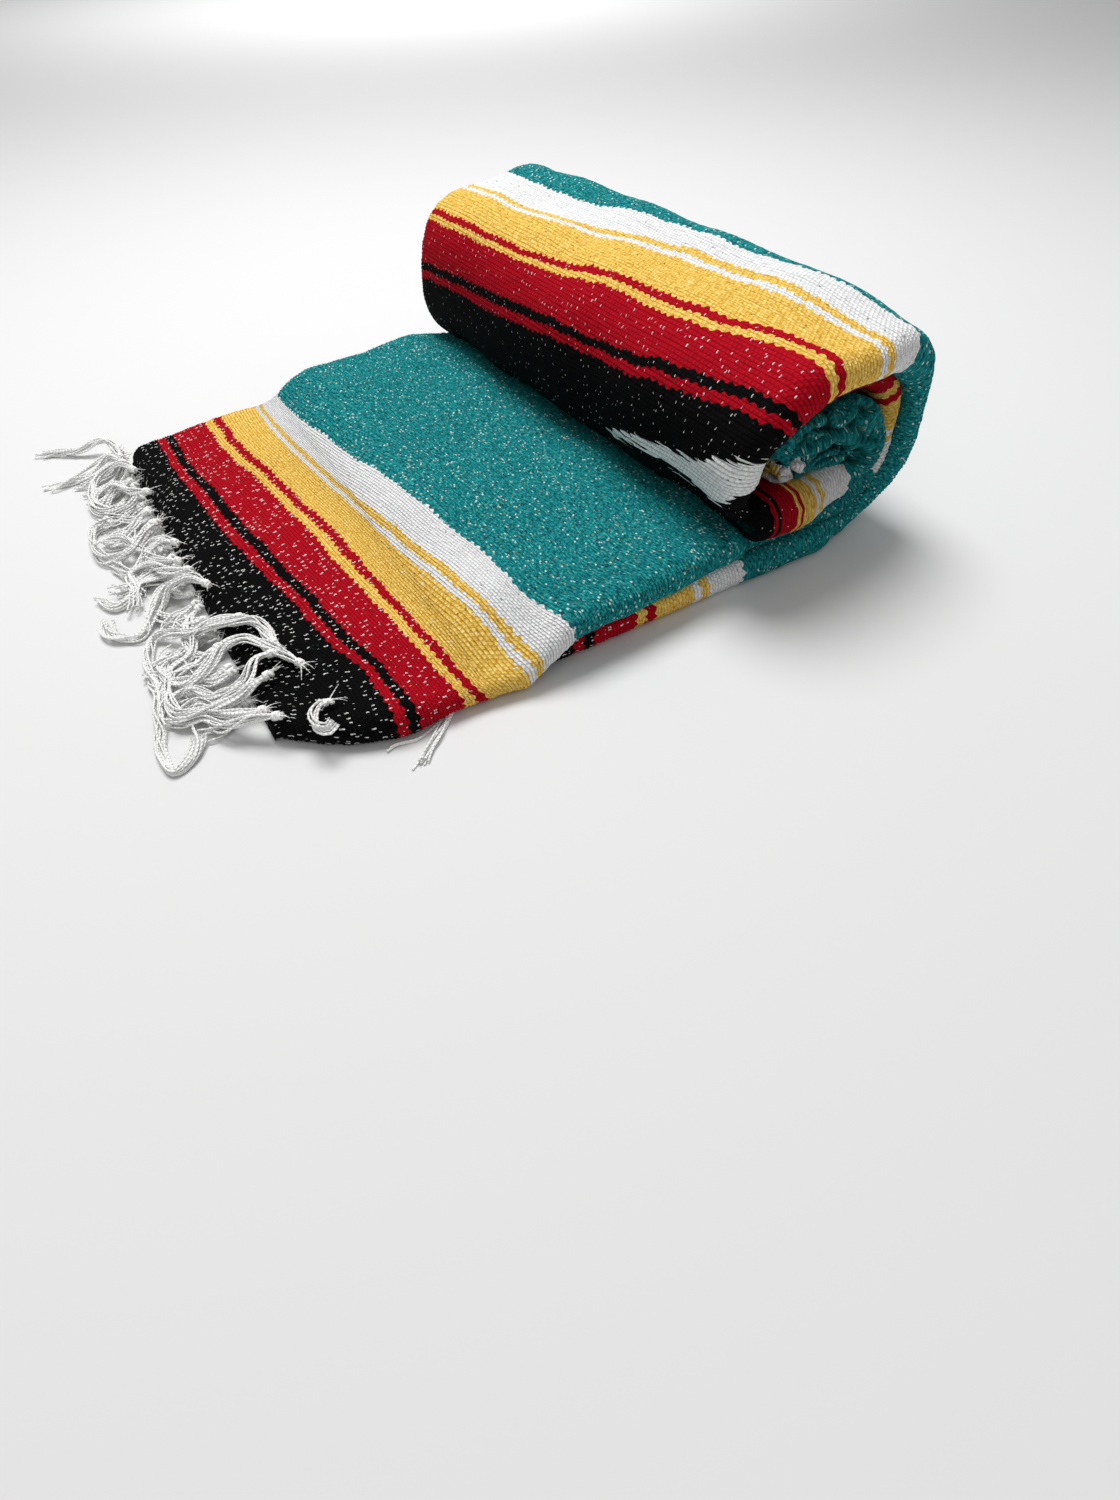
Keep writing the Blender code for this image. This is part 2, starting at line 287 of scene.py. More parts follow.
# ---------------- node helpers
class Nodes:
    """Short ways to add shader nodes and link them."""

    def __init__(self, name):
        self.material = bpy.data.materials.new(name)
        self.material.use_nodes = True
        self.tree = self.material.node_tree
        self.shader = self.tree.nodes["Principled BSDF"]

    def link(self, value, socket):
        if hasattr(value, "node"):
            self.tree.links.new(value, socket)
        else:
            socket.default_value = value

    def surface(self, **values):
        """Sets the shader's inputs, named in words joined by _, and returns the material."""
        for name, value in values.items():
            self.link(value, self.shader.inputs[name.replace("_", " ")])
        return self.material

    def math(self, operation, *values):
        node = self.tree.nodes.new("ShaderNodeMath")
        node.operation = operation
        for value, socket in zip(values, node.inputs):
            self.link(value, socket)
        return node.outputs[0]

    def add(self, a, b):
        return self.math("ADD", a, b)

    def times(self, a, b):
        return self.math("MULTIPLY", a, b)

    def line(self, value, slope, start):
        """start + slope * value"""
        return self.add(self.times(value, slope), start)

    def rest(self, value):
        """1 - value"""
        return self.math("SUBTRACT", 1.0, value)

    def wave(self, value):
        return self.math("SINE", value)

    def vector(self, x, y, z=0.0):
        node = self.tree.nodes.new("ShaderNodeCombineXYZ")
        for value, socket in zip((x, y, z), node.inputs):
            self.link(value, socket)
        return node.outputs[0]

    def grey(self, level):
        return self.vector(level, level, level)

    def attribute(self, name, output="Fac"):
        node = self.tree.nodes.new("ShaderNodeAttribute")
        node.attribute_name = name
        return node.outputs[output]

    def parts(self, name):
        """The three numbers of a vector attribute."""
        node = self.tree.nodes.new("ShaderNodeSeparateXYZ")
        self.link(self.attribute(name, "Vector"), node.inputs[0])
        return node.outputs

    def noise(self, vector, detail):
        node = self.tree.nodes.new("ShaderNodeTexNoise")
        self.link(vector, node.inputs["Vector"])
        node.inputs["Scale"].default_value = 1.0
        node.inputs["Detail"].default_value = detail
        return node.outputs["Fac"]

    def dice(self, vector):
        """A random number for each whole-number cell."""
        floor = self.tree.nodes.new("ShaderNodeVectorMath")
        floor.operation = "FLOOR"
        self.link(vector, floor.inputs[0])
        node = self.tree.nodes.new("ShaderNodeTexWhiteNoise")
        node.noise_dimensions = "3D"
        self.link(floor.outputs[0], node.inputs["Vector"])
        return node.outputs["Value"]

    def step(self, value, low, high):
        """0 below low, 1 above high, smooth between."""
        node = self.tree.nodes.new("ShaderNodeMapRange")
        node.interpolation_type = "SMOOTHSTEP"
        self.link(value, node.inputs["Value"])
        self.link(low, node.inputs["From Min"])
        self.link(high, node.inputs["From Max"])
        return node.outputs["Result"]

    def ramp(self, value, stops, interpolation):
        node = self.tree.nodes.new("ShaderNodeValToRGB")
        node.color_ramp.interpolation = interpolation
        elements = node.color_ramp.elements
        while len(elements) < len(stops):
            elements.new(1.0)
        for element, (place, colour) in zip(elements, stops):
            element.position = place
            element.color = (*colour, 1)
        self.link(value, node.inputs["Fac"])
        return node.outputs["Color"]

    def mix(self, share, a, b, blend="MIX"):
        node = self.tree.nodes.new("ShaderNodeMix")
        node.data_type = "RGBA"
        node.blend_type = blend
        self.link(share, node.inputs[0])
        for value, socket in ((a, node.inputs[6]), (b, node.inputs[7])):
            self.link((*value, 1) if isinstance(value, tuple) else value, socket)
        return node.outputs[2]

    def bump(self, height, distance):
        node = self.tree.nodes.new("ShaderNodeBump")
        node.inputs["Strength"].default_value = 1.0
        node.inputs["Distance"].default_value = distance
        self.link(height, node.inputs["Height"])
        return node.outputs[0]


# ---------------- materials
COLOURS = {
    "black": (0.0030, 0.0030, 0.0034),
    "red": (0.460, 0.0030, 0.0130),
    "yellow": (0.930, 0.590, 0.115),
    "white": (0.880, 0.890, 0.885),
    "teal": (0.010, 0.235, 0.240),
}
NONE, ALL = (0.0, 0.0, 0.0), (1.0, 1.0, 1.0)
BARE_WARP = (0.88, 0.88, 0.85)
WARP_SHOWS = {"black": 0.84, "red": 0.74, "yellow": 0.08, "white": 0.0, "teal": 0.44}
RAMP_LOW, RAMP_HIGH = -0.03, 0.15  # the stripe coordinates that the colour ramps cover
DRIFT, SCALLOP = 0.0062, 0.00075  # how far a stripe's edge wanders, and the height of its scallops
FEATHER = 0.016  # how far the white patch's edges are drawn out
YARN_RELIEF, THREAD_RELIEF = 0.00075, 0.00016  # depth of the bump
PLY_TURNS = (5200.0, 3400.0)  # paces of the yarn's twist across and along the strip
FIBRE_SHADES = [  # waves to the metre along and across the strip, shift, the noise that is darkest, weight
    (1400.0, 480.0, 0.0, 0.26, 0.44),
    (620.0, 260.0, 8.0, 0.28, 0.34),
]
TEALS = [
    (0.10, (0.001, 0.032, 0.044)),
    (0.30, (0.004, 0.120, 0.140)),
    (0.50, (0.009, 0.240, 0.252)),
    (0.68, (0.018, 0.330, 0.330)),
    (0.82, (0.090, 0.480, 0.460)),
    (0.92, (0.420, 0.740, 0.710)),
]
GOLDS = [
    (0.0, (0.700, 0.330, 0.030)),
    (0.30, (0.860, 0.490, 0.070)),
    (0.55, (0.930, 0.600, 0.120)),
    (0.80, (0.960, 0.700, 0.230)),
    (0.95, (0.970, 0.800, 0.420)),
]
DARK_FIBRE = (0.015, 0.035, 0.035)
TEAL_FIBRES = [  # the draw that picks a fibre and how far from it counts, its strength and its colour
    (0.0, 0.016, 0.70, (0.010, 0.060, 0.200)),
    (0.5, 0.014, 0.85, (0.700, 0.850, 0.820)),
    (0.3, 0.008, 0.70, (0.220, 0.300, 0.160)),
]


class Weave(Nodes):
    """Nodes that know each point's place along the weft ribs, warp cords and stripes, in metres."""

    def __init__(self, name):
        super().__init__(name)
        self.weft, self.warp, self.stripe = self.parts("cloth")

    def yarn_noise(self, along, across, detail, shift=0.0):
        """Noise with so many waves to the metre along and across the strip."""
        place = self.vector(self.times(self.weft, along), self.times(self.warp, across), shift)
        return self.noise(place, detail)


def wandering_stripes(w):
    """The stripe coordinate, with edges that wander, and scallop where the weft goes round the warp."""
    drift = w.noise(w.vector(w.times(w.warp, 60.0), w.times(w.weft, 12.0)), 3.0)
    scallop = w.wave(w.times(w.warp, 2 * np.pi / BEAD))
    return w.add(w.add(w.stripe, w.times(w.add(drift, -0.5), DRIFT)), w.times(scallop, SCALLOP))


def striped(w, edge, values):
    """The value of each stripe's colour name, with hard edges."""
    span = RAMP_HIGH - RAMP_LOW
    stops = [(max(0.0, (at - RAMP_LOW) / span), values[name]) for at, name in STRIPES]
    return w.ramp(w.times(w.add(edge, -RAMP_LOW), 1 / span), stops, "CONSTANT")


def white_patch(w):
    """1 in the white patch in the middle of the black, feathered along the weft."""
    feather = w.noise(w.vector(w.times(w.warp, 45.0), w.times(w.weft, 480.0)), 2.0)
    inside = w.add(w.attribute("patch"), w.times(w.add(feather, -0.5), FEATHER))
    return w.math("GREATER_THAN", inside, 0.0)


def fibre_tone(w):
    """0 to 1 by the shade of the yarn's fibres, which are drawn out along the weft."""
    tone = w.times(w.yarn_noise(240.0, 70.0, 3.0, 4.0), 0.22)
    for along, across, shift, darkest, weight in FIBRE_SHADES:
        sharp = w.step(w.yarn_noise(along, across, 2.0, shift), darkest, 1 - darkest)
        tone = w.add(tone, w.times(sharp, weight))
    return tone


def heathered(w, edge, in_patch, is_teal):
    """The stripes' colours, each with its fibres of other shades."""
    tone = fibre_tone(w)
    base = w.mix(in_patch, striped(w, edge, COLOURS), COLOURS["white"])
    base = w.mix(w.times(is_teal, w.rest(in_patch)), base, w.ramp(tone, TEALS, "LINEAR"))
    is_yellow = striped(w, edge, {name: ALL if name == "yellow" else NONE for name in COLOURS})
    base = w.mix(w.times(is_yellow, w.rest(in_patch)), base, w.ramp(tone, GOLDS, "LINEAR"))
    level = w.grey(w.line(tone, 0.62, 0.68))
    return w.mix(w.times(w.rest(is_teal), 0.9), base, level, "MULTIPLY")


def flecked(w, base, is_teal):
    """Adds stray fibres: a few dark ones everywhere, and more of them and other colours in the teal."""
    chance = w.dice(w.vector(w.times(w.weft, 1 / FLECK_ROW), w.times(w.warp, 1 / FLECK_COLUMN)))
    dark = w.math("GREATER_THAN", chance, w.line(is_teal, -0.040, 0.9975))
    base = w.mix(w.times(dark, 0.7), base, DARK_FIBRE)
    for draw, reach, strength, colour in TEAL_FIBRES:
        picked = w.times(w.math("COMPARE", chance, draw, reach), is_teal)
        base = w.mix(w.times(picked, strength), base, colour)
    return base


def within_dash(w, place, draw, half):
    """1 within half a dash of its middle, which the draw shifts in its cell; half is a share of the cell."""
    shift = w.times(w.add(draw, -0.5), w.line(half, -2.0, 0.95))
    away = w.math("ABSOLUTE", w.add(w.math("FRACT", place), w.add(shift, -0.5)))
    return w.math("LESS_THAN", away, half)


def bare_warp(w, shows, is_teal):
    """How much white warp shows between the weft beads: short dashes of many sizes, in staggered rows."""
    row = w.times(w.weft, 1 / DASH_ROW)
    stagger = w.times(w.math("MODULO", w.math("FLOOR", row), 2.0), 0.5)
    column = w.add(w.times(w.warp, 1 / DASH_COLUMN), stagger)
    draws = [w.dice(w.vector(row, column, layer)) for layer in (0.0, 5.0, 9.0, 13.0)]
    chance, size, sideways, lengthways = draws
    wear = w.attribute("wear")
    patchy = w.line(w.step(w.yarn_noise(34.0, 26.0, 2.0, 9.0), 0.3, 0.7), 0.4, 0.6)
    here = w.math("LESS_THAN", chance, w.times(w.times(shows, w.line(wear, 0.65, 0.35)), patchy))
    reach = w.times(w.times(size, wear), w.line(is_teal, -0.60, 1.0))
    half_width = w.add(w.times(reach, 0.080), w.line(is_teal, -0.006, 0.034))
    half_length = w.add(w.times(reach, 0.20), w.line(is_teal, -0.032, 0.080))
    in_width = within_dash(w, column, sideways, half_width)
    in_length = within_dash(w, row, lengthways, half_length)
    clear = w.times(w.line(size, 0.25, 0.70), w.line(is_teal, -0.42, 1.0))
    return w.times(w.times(here, w.times(in_width, in_length)), clear)


def weft_beads(w):
    """The height of the weft's beads, 0 to 1; they alternate from rib to rib."""
    rib = w.times(w.weft, 1 / RIB)
    odd = w.math("MODULO", w.math("FLOOR", rib), 2.0)
    cord = w.add(w.times(w.warp, 1 / WARP), w.times(odd, 0.5))
    ridge = w.wave(w.times(w.math("FRACT", rib), np.pi))
    bead = w.math("ABSOLUTE", w.wave(w.times(w.math("FRACT", cord), np.pi)))
    return w.times(w.math("POWER", ridge, 0.7), w.line(w.math("POWER", bead, 0.6), 0.75, 0.25))


def cloth_material():
    """Weft-faced weave, from the shells' cloth, patch and wear attributes, and the attribute of painted shade
    in hollows and inside the roll's near end.
    """
    w = Weave("serape weave")
    edge = wandering_stripes(w)
    in_patch = white_patch(w)
    is_teal = w.math("GREATER_THAN", edge, TEAL_FROM)
    shows = striped(w, edge, {name: (share,) * 3 for name, share in WARP_SHOWS.items()})
    shows = w.mix(in_patch, shows, NONE)
    base = flecked(w, heathered(w, edge, in_patch, is_teal), is_teal)
    base = w.mix(bare_warp(w, shows, is_teal), base, BARE_WARP)

    beads = weft_beads(w)
    ply = w.wave(w.add(w.times(w.warp, PLY_TURNS[0]), w.times(w.weft, PLY_TURNS[1])))
    fuzz = w.yarn_noise(2600.0, 1700.0, 3.0)
    relief = w.add(beads, w.add(w.times(ply, 0.07), w.times(fuzz, 0.45)))
    # Painted shade: the colour is darkened between the weft beads, and more in deep hollows and at the near
    # edge inside the roll, as the shells' attribute gives.
    shadow = w.line(w.step(beads, 0.0, 0.65), 0.40, 0.60)
    shadow = w.times(shadow, w.line(w.attribute("painted_shade"), -0.88, 1.0))
    return w.surface(
        Base_Color=w.mix(1.0, base, w.grey(shadow), "MULTIPLY"),
        Normal=w.bump(relief, YARN_RELIEF),
        Roughness=w.line(fuzz, 0.15, 0.82),
        Specular_IOR_Level=0.06,
    )


def thread_material():
    """Cotton thread: the ply attribute holds its length, the angle round it and its tone."""
    n = Nodes("cotton thread")
    length, angle, tone = n.parts("ply")
    twist = n.wave(n.add(n.times(length, 2600.0), n.times(angle, 2.0)))
    fuzz = n.noise(n.vector(n.times(length, 1500.0), n.times(angle, 1.5), n.times(tone, 40.0)), 3.0)
    level = n.add(n.times(tone, 0.08), n.add(n.times(twist, 0.04), n.line(fuzz, 0.06, 0.90)))
    return n.surface(
        Base_Color=n.vector(level, level, n.times(level, 0.985)),
        Normal=n.bump(n.add(twist, fuzz), THREAD_RELIEF),
        Roughness=0.85,
        Sheen_Weight=0.15,
    )


def floor_material():
    n = Nodes("pale floor")
    return n.surface(Base_Color=(0.76, 0.76, 0.76, 1), Roughness=0.9, Specular_IOR_Level=0.1)


CLOTH = cloth_material()
THREAD = thread_material()


# ---------------- where the stripes run
ACROSS = [0, 0.1, 0.2, 0.3, 0.4, 0.5, 0.6, 0.7, 0.8, 0.9, 1.0]
# Where stripe edges cross the strip at those shares of its width: the stripe coordinate, then the places
FLAP_LINES = [  # X on the upper slab
    (0.0, [0.0010, 0.0020, -0.0060, -0.0085, -0.0130, -0.0185, -0.0215, -0.0240, -0.0262, -0.0266, -0.0260]),
    (0.0401, [0.0366, 0.0318, 0.0298, 0.0266, 0.0240, 0.0224, 0.0196, 0.0163, 0.0113, 0.0089, 0.0092]),
    (0.0790, [0.0758, 0.0700, 0.0668, 0.0640, 0.0620, 0.0585, 0.0544, 0.0505, 0.0466, 0.0455, 0.0480]),
    (0.1155, [0.1040, 0.0945, 0.0938, 0.0893, 0.0871, 0.0851, 0.0808, 0.0778, 0.0752, 0.0722, 0.0715]),
]
ROLL_LINES = [  # runs along the outer turn
    (0.1155, [0.2190, 0.2205, 0.2230, 0.2262, 0.2290, 0.2318, 0.2360, 0.2415, 0.2450, 0.2465, 0.2458]),
    (0.0900, [0.2425, 0.2430, 0.2430, 0.2430, 0.2455, 0.2545, 0.2645, 0.2740, 0.2765, 0.2766, 0.2766]),
    (0.0527, [0.2775, 0.2798, 0.2875, 0.2902, 0.2915, 0.2965, 0.3020, 0.3040, 0.3048, 0.3058, 0.3065]),
    (0.0401, [0.2880, 0.2898, 0.2975, 0.2996, 0.2995, 0.3050, 0.3085, 0.3103, 0.3118, 0.3130, 0.3138]),
    (0.0127, [0.3080, 0.3125, 0.3175, 0.3225, 0.3250, 0.3265, 0.3288, 0.3310, 0.3330, 0.3352, 0.3375]),
    (0.0, [0.3170, 0.3220, 0.3270, 0.3312, 0.3327, 0.3352, 0.3382, 0.3408, 0.3425, 0.3437, 0.3464]),
]
LOWER_LAG = 0.1035  # the lower slab's stripes lie this much further on
# The white patch on the roll's front: its middle and half its length, at shares of the strip's width
PATCH_PLACES = [-0.05, 0.0, 0.035, 0.1, 0.16, 0.21, 0.31, 0.45]
PATCH_MIDDLES = [0.3420, 0.3450, 0.3508, 0.3549, 0.3570, 0.3582, 0.3630, 0.3640]
PATCH_HALVES = [0.0060, 0.0095, 0.0112, 0.0064, 0.0040, 0.0026, 0.0, -0.012]
# (run, stripe coordinate) along the turns that show only at the roll's ends
INNER_STRIPES = [
    (0, 0.2), (0.08, 0.14), (0.1055, 0.1155), (0.124, 0.09),
    (0.131, 0.079), (0.149, 0.0527), (0.16, 0.0401), (0.2, 0.01),
]
SECOND_STRIPES = [
    (-0.02, -0.02), (-0.001, 0.0), (0.015, 0.0401), (0.019, 0.0527),
    (0.028, 0.079), (0.036, 0.09), (0.059, 0.1155), (0.2, 0.26),
]
CORE_STRIPES = [(0, 0.088), (0.014, 0.1155), (0.1, 0.2)]


def between_lines(place, share, lines):
    """The stripe coordinate at a place: straight between the lines, and at full size beyond them."""
    edges = [(stripe, table(share, ACROSS, places)) for stripe, places in lines]
    first_stripe, first = edges[0]
    last_stripe, last = edges[-1]
    way = np.sign(last_stripe - first_stripe)
    pattern = first_stripe + way * (place - first)
    for (stripe, edge), (next_stripe, next_edge) in zip(edges, edges[1:]):
        t = (place - edge) / (next_edge - edge)
        pattern = np.where(t > 0, stripe + (next_stripe - stripe) * t, pattern)
    return np.where(place > last, last_stripe + way * (place - last), pattern)


def no_patch(run):
    return np.full_like(run, -1.0)


# Each of these gives the rib coordinate, the stripe coordinate and the white patch at a run and a Y.
def upper_stripes(run, y):
    share = np.clip(y / WIDTH, 0, 1)
    pattern = between_lines(leaned(run + UPPER_END, share), share, FLAP_LINES)
    return pattern, pattern, no_patch(run)


def lower_stripes(run, y):
    pattern = run + LOWER_END - LOWER_LAG + LOWER_SLANT * (y / WIDTH)
    return pattern, pattern, no_patch(run)


def outer_stripes(run, y):
    share = np.clip(y / WIDTH, 0, 1)
    coming = run + TURN_START - LOWER_LAG + LOWER_SLANT * share
    pattern = np.minimum(between_lines(run, share, ROLL_LINES), coming)
    middle = table(y / WIDTH, PATCH_PLACES, PATCH_MIDDLES)
    half = table(y / WIDTH, PATCH_PLACES, PATCH_HALVES)
    return -run, pattern, half - np.abs(run - middle)


def by_anchors(anchors):
    """Stripes that follow a few anchors of (run, stripe coordinate)."""
    runs, stripes = zip(*anchors)
    return lambda run, y: (run, np.interp(run, runs, stripes), no_patch(run))


# ---------------- the shape of each stretch
# Each gives how far the surface stands proud, its shifts along Y and Z, and its thickness in slabs.
FLAP_CORNER_RUNS = [0, 0.010, 0.022, 0.036, 0.052]
FLAP_CORNER_CUTS = [0.030, 0.020, 0.011, 0.004, 0.0]  # how far the flap's near corner is drawn in there
FAR_CORNER = 0.018  # radius of its far corner
CORNER_REACH = 0.12  # the width of cloth that a corner draws in


def near_end(y, reach):
    """1 at the strip's near edge, falling to 0 at reach from it."""
    return 1 - share_of(y, 0, reach)


def even(run, y, height):
    return 0 * run, 0 * run, 0 * run, 1 + 0 * run


def upper_flap_shape(run, y, height):
    """Soft waves, rounded corners, a thin fringe edge, and a near edge that droops over the lower slab."""
    x = run + UPPER_END
    proud = ripples(x, y, 0.11, 11) * 0.0010 + ripples(x, y, 0.045, 12) * 0.0005
    near_cut = table(run, FLAP_CORNER_RUNS, FLAP_CORNER_CUTS)
    into_corner = np.clip(FAR_CORNER + 0.003 - run, 0, FAR_CORNER)
    far_cut = FAR_CORNER - np.sqrt(np.clip(FAR_CORNER**2 - into_corner**2, 0, None))
    shift_y = near_cut * near_end(y, CORNER_REACH) - far_cut * share_of(y, WIDTH - CORNER_REACH, WIDTH)
    shift_y = shift_y - 0.010 * ramp_at(x) * near_end(y, 0.09)
    lifted = PITCH * smooth(x, RISE_START, RISE_START + RISE_LENGTH)
    propped = PITCH * share_of(x, 0.074, 0.108)  # by the lower slab, from its fringe edge on
    droop = np.maximum(lifted - propped, 0) * (1 - smooth(y, 0.004, 0.042))
    fullness = 0.10 + 0.90 * rounded(share_of(run, 0, 0.010))
    fullness = fullness * (1 - 0.25 * bump_at(run, 0, 0.05))
    puff = 0.004 * bump_at(x, 0.17, 0.035) * bump_at(y, WIDTH, 0.06)
    return proud, shift_y, puff - SLAB / 2 * (1 - fullness) - droop, fullness


def outer_shape(run, y, height):
    """Soft waves, a full back, and a near edge that is drawn in at the right and leans out above it."""
    proud = ripples(run, y, 0.10, 21) * 0.0011 + ripples(run, y * 0.6, 0.05, 22) * 0.0006
    right = hump(run, 0.06, 0.08, 0.10, 0.16)
    top = hump(run, 0.165, 0.215, 0.300, 0.350)
    front = hump(run, 0.300, 0.330, 0.345, 0.385)
    near = near_end(y, 0.09)
    lean = 0.005 * right - 0.014 * top * (0.30 + 0.70 * smooth(run, 0.212, 0.250)) - 0.006 * front
    back = bump_at(run, 0.205, 0.032) * smooth(y, 0.0, 0.06) * (1 - 0.45 * smooth(y, 0.26, 0.36))
    tucked = near**2 * smooth(run, 0.345, 0.368)
    proud = (proud + 0.0090 * back - 0.006 * tucked) * smooth(run, 0.0, 0.05)
    return proud, lean * near**1.3, -0.003 * top * near**2, 1 + 0.25 * top * near**2


def inner_shape(run, y, height):
    proud = ripples(run, y, 0.05, 31) * 0.0006
    upright = smooth(run, 0.09, 0.13)
    return proud, 0.0016 * upright * near_end(y, 0.05), 0 * run, 1 - 0.16 * upright


def crumpled(run, y, height, seed, depth):
    """Soft lobes with deep creases between them, strongest at the near end."""
    near = 1 - smooth(y, 0.0, 0.05)
    wave = ripples(run * 0.6, (y + 1.5 * height) * 0.9, 0.021, seed, 8)
    return near * depth * (0.35 * wave - bump_at(wave, 0, 0.20))


def layered(run, y, height, depth):
    """Wavy creases along the near edge, where folded layers meet."""
    near = 1 - smooth(y, 0.0, 0.035)
    upper = height - 0.0036 - 0.0014 * np.sin(run * 190)
    lower = height + 0.0030 - 0.0016 * np.sin(run * 150 + 2.0)
    return -near * depth * np.maximum(bump_at(upper, 0, 0.0009), bump_at(lower, 0, 0.0009))


def second_shape(run, y, height):
    """Smooth where it shows below the core, and crumpled from the fold on."""
    near = near_end(y, 0.06)
    start = 1 - smooth(run, 0.02, 0.06)
    creases = crumpled(run, y, height, 42, 0.0068) * smooth(run, 0.05, 0.075)
    bulge = near * (0.0045 * start + 0.0070 * bump_at(run, 0.084, 0.030))
    proud = ripples(run, y, 0.06, 41) * 0.0006 + creases + bulge
    return proud, -(0.006 * start + 0.006) * near, -0.004 * start * near, 1 + 0.12 * near


def core_shape(run, y, height):
    near = near_end(y, 0.06)
    proud = crumpled(run, y, height, 52, 0.0062) + layered(run, y, height, 0.0032)
    return proud, -0.010 * near, 0.001 * near, 1 + 0.30 * near


# How much the warp shows through, at a run
def worn(run):
    return np.ones_like(run)


def less_worn_in_front(run):
    return 0.50 - 0.32 * smooth(run, 0.31, 0.345)


def hardly_worn(run):
    return np.full_like(run, 0.15)


# ---------------- cloth tubes
UNDER_POINTS = 24  # across the coarse underside
END_SHADE_REACH = 0.03  # how far in from the near edge the painted shade inside the roll reaches
RIB_RELIEF = 0.00070  # how far the weft ribs stand proud
TIP = 0.004  # the least share of a round end that is kept, so that its tip doesn't close to a line
CREASED = (0.0008, 0.0034)  # the hollow depths where crumpled cloth starts to get painted shade and where it is darkest


@dataclass
class Look:
    """How the tube of one stretch is made."""

    outside: int = 1  # 1 where the fine face is the path's left side, -1 where it is its right
    start: float = 0.0  # the run where it begins
    run_step: float = 0.00052  # from one row of points to the next
    step: float = 0.004  # from one point to the next across the fine face
    edge_points: int = 13  # round each edge
    inset: float = 0.0  # from the strip's edges
    round_ends: tuple = (False, False)
    painted_shade: tuple = (0.0035, 0.0070)  # the hollow depths where painted shade starts and where it is darkest
    painted_end_shade: float = 0.0  # how dark the painted shade at its near edge is, inside the roll
    wear: Callable = worn


def section(look):
    """Round a slab: Y, height and outward direction of each point, and how much cloth the edges add to Y."""
    radius = SLAB / 2
    near, far = look.inset, WIDTH - look.inset
    turn = np.linspace(-np.pi / 2, np.pi / 2, look.edge_points)
    top = np.linspace(near + radius, far - radius, round((far - near) / look.step))[1:-1]
    under = np.linspace(far - radius, near + radius, UNDER_POINTS)[1:-1]
    flat_top, flat_under = np.zeros_like(top), np.zeros_like(under)
    near_middle, far_middle = np.full_like(turn, near + radius), np.full_like(turn, far - radius)
    middle = np.concatenate([near_middle, top, far_middle, under])
    out_y = np.concatenate([-np.cos(turn), flat_top, np.cos(turn), flat_under])
    out_h = np.concatenate([np.sin(turn), flat_top + 1, -np.sin(turn), flat_under - 1])
    near_edge = radius * (turn - np.pi / 2 + np.cos(turn))
    far_edge = radius * (turn + np.pi / 2 - np.cos(turn))
    edge = np.concatenate([near_edge, flat_top, far_edge, flat_under])
    return middle + radius * out_y, radius * out_h, out_y, out_h, edge


def with_round_ends(fullness, run, path, look):
    """Closes the tube over its radius at each end that the look says is round."""
    for is_round, away in zip(look.round_ends, (run - look.start, path.length - run)):
        if is_round:
            fullness = fullness * rounded(np.clip(away / (SLAB / 2), TIP, 1))
    return fullness


def surface_relief(weft, y):
    """The ribs of weft, and the lumps of uneven yarn."""
    ridge = np.abs(np.sin(np.pi * weft / RIB)) ** 0.7
    lump = ripples(weft, y * 0.5, 0.0042, 3) * 0.00010 + ripples(weft, y, 0.013, 4) * 0.00016
    return (ridge - 0.6) * RIB_RELIEF + lump


def shell(node, path, stripes, shape, look):
    """A tube of cloth round one stretch of the strip, in place of its CAD node, and its flat size."""
    y, height, out_y, out_h, edge = section(look)
    runs = np.linspace(look.start, path.length, round((path.length - look.start) / look.run_step))
    run, y = np.meshgrid(runs, y, indexing="ij")
    x, z, heading = path.at(run)
    weft, pattern, patch = stripes(run, y + edge)
    proud, shift_y, shift_z, fullness = shape(run, y, height * look.outside + 0 * run)
    fullness = with_round_ends(fullness, run, path, look)
    # Painted shade in the colour: darker in deep hollows, and towards the near edge inside the roll.
    painted_end_shade = look.painted_end_shade * (1 - smooth(y, look.inset, look.inset + END_SHADE_REACH))
    painted_shade = np.maximum(share_of(-proud, *look.painted_shade), painted_end_shade)
    proud = proud + surface_relief(weft, y)
    lift = (height * fullness + out_h * proud) * look.outside
    points = [x - lift * np.sin(heading), y + out_y * proud + shift_y, z + lift * np.cos(heading) + shift_z]
    points = placed(np.stack(points, -1))
    points[..., 2] = np.maximum(points[..., 2], 0)
    faces = grid_faces(*run.shape)
    if look.outside > 0:
        faces = faces[:, ::-1]
    cloth = np.stack([weft, y + edge, pattern], -1).reshape(-1, 3)
    looks = {"cloth": cloth, "patch": patch.ravel(), "wear": look.wear(run).ravel(), "painted_shade": painted_shade.ravel()}
    made = mesh_object(node + "_cloth", points.reshape(-1, 3), faces, CLOTH, **looks)
    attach(made, "root")
    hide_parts(node)
    girth = 2 * (WIDTH - 2 * look.inset - SLAB) + np.pi * SLAB
    return made, (girth, path.length - look.start)


